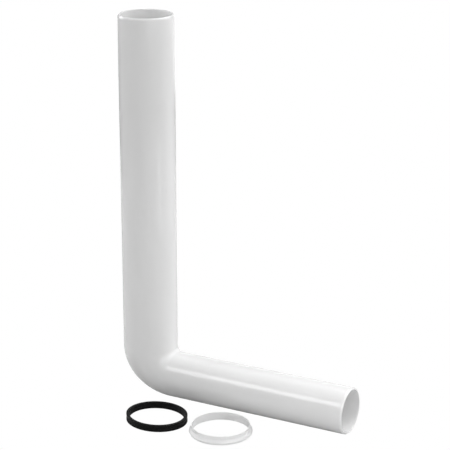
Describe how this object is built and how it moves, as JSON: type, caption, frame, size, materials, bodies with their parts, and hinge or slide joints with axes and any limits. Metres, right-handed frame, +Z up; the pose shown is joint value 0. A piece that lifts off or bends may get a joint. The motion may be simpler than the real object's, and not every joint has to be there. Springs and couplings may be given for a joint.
{
  "type": "toilet flush bend",
  "caption": "One-piece white plastic toilet flush pipe with a tight right-angle elbow and plain ends, with a loose black rubber seal ring and a loose white plastic friction ring.",
  "frame": {"origin": "middle of the footprint of the pipe and its two loose rings, on the surface they stand on", "axes": "+Z up along the inlet leg, +X along the outlet leg towards its rim, the loose rings on the -Y side"},
  "size_m": [0.228, 0.1066, 0.355],
  "materials": {
    "gloss_white_plastic": "gloss white, smooth as moulded",
    "black_rubber": "soft black, satin",
    "translucent_white_plastic": "natural white, slightly translucent, satin"
  },
  "bodies": {
    "flush_bend": {"flush_bend": "gloss_white_plastic"},
    "seal_ring": {"seal_ring": "black_rubber"},
    "friction_ring": {"friction_ring": "translucent_white_plastic"}
  },
  "joints": [
    {"name": "seal_ring_lift", "type": "slide", "parent": "flush_bend", "child": "seal_ring", "axis": [0, 0, 1], "range_m": [0, 0.37]},
    {"name": "friction_ring_lift", "type": "slide", "parent": "flush_bend", "child": "friction_ring", "axis": [0, 0, 1], "range_m": [0, 0.37]}
  ]
}
